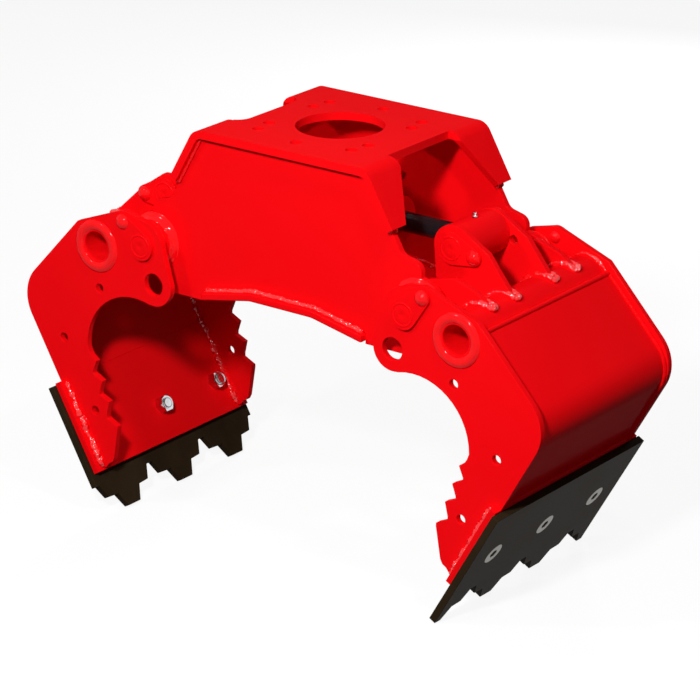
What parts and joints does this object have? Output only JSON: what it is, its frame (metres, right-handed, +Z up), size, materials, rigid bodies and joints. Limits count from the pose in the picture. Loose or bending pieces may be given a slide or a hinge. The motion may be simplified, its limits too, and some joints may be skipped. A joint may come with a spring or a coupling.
{
  "type": "excavator grapple",
  "caption": "A hydraulic sorting grapple for an excavator: an arched body under a bolt-on top plate, and toothed jaws on pins that a level cylinder between them swings open and shut.",
  "frame": {"origin": "centre of the six-bolt circle, on the top plate's flat upper face", "axes": "+Z up, out of the top plate towards the rotator; X runs from jaw to jaw and along the level cylinder, with its rod end at +X; -Y is the side that faces the camera in the picture"},
  "size_m": [1.4152, 0.56, 0.9507],
  "materials": {
    "red_paint": "thick glossy bright red enamel over welded plate",
    "wear_steel": "dark brown-black satin wear plate",
    "zinc": "bright zinc plate",
    "pin_steel": "ground hardened steel",
    "black_rod": "polished black rod",
    "bronze": "plain bearing bronze"
  },
  "bodies": {
    "frame": {"top_plate": "red_paint", "body_side_front": "red_paint", "body_side_back": "red_paint", "arch_plate": "red_paint", "pivot_bosses": "red_paint", "pivot_bushes": "bronze"},
    "right_jaw": {"right_side_front": "red_paint", "right_side_back": "red_paint", "right_shell": "red_paint", "right_base_plate": "red_paint", "right_cutting_edge": "wear_steel", "right_edge_bolts": "zinc", "right_edge_nuts": "zinc", "right_cross_tube": "red_paint", "right_lugs": "red_paint", "right_ears": "red_paint", "right_pivot_pins": "pin_steel", "right_flags": "red_paint", "right_flag_bolts": "red_paint", "right_cylinder_pin": "pin_steel", "right_cylinder_flag": "red_paint", "right_cylinder_bolt": "red_paint"},
    "left_jaw": {"left_side_front": "red_paint", "left_side_back": "red_paint", "left_shell": "red_paint", "left_base_plate": "red_paint", "left_cutting_edge": "wear_steel", "left_edge_bolts": "zinc", "left_edge_nuts": "zinc", "left_cross_tube": "red_paint", "left_lugs": "red_paint", "left_pivot_pins": "pin_steel", "left_flags": "red_paint", "left_flag_bolts": "red_paint", "left_cylinder_pin": "pin_steel", "left_cylinder_flag": "red_paint", "left_cylinder_bolt": "red_paint", "left_spacers": "red_paint"},
    "barrel": {"barrel_tube": "red_paint", "barrel_eye": "red_paint", "barrel_cap": "red_paint", "barrel_bush": "bronze", "barrel_gland": "red_paint", "barrel_ports": "red_paint", "barrel_elbows": "red_paint", "barrel_nipple": "zinc"},
    "rod": {"rod_shaft": "black_rod", "rod_piston": "pin_steel", "rod_eye": "red_paint", "rod_bush": "bronze", "rod_nipple": "zinc"}
  },
  "joints": [
    {"name": "right_jaw_hinge", "type": "hinge", "parent": "frame", "child": "right_jaw", "pos_m": [0.359, 0, -0.282], "axis": [0, 1, 0], "range_deg": [-40, 42]},
    {"name": "left_jaw_hinge", "type": "hinge", "parent": "frame", "child": "left_jaw", "pos_m": [-0.359, 0, -0.282], "axis": [0, 1, 0], "range_deg": [-42, 40]},
    {"name": "barrel_pin", "type": "hinge", "parent": "left_jaw", "child": "barrel", "pos_m": [-0.359, 0, -0.183], "axis": [0, 1, 0], "range_deg": [-40, 42]},
    {"name": "rod_pin", "type": "hinge", "parent": "right_jaw", "child": "rod", "pos_m": [0.359, 0, -0.183], "axis": [0, 1, 0], "range_deg": [-42, 40]}
  ],
  "couplings": [
    {"joint": "left_jaw_hinge", "follows": "right_jaw_hinge", "ratio": -1},
    {"joint": "barrel_pin", "follows": "right_jaw_hinge", "ratio": 1},
    {"joint": "rod_pin", "follows": "right_jaw_hinge", "ratio": -1}
  ]
}
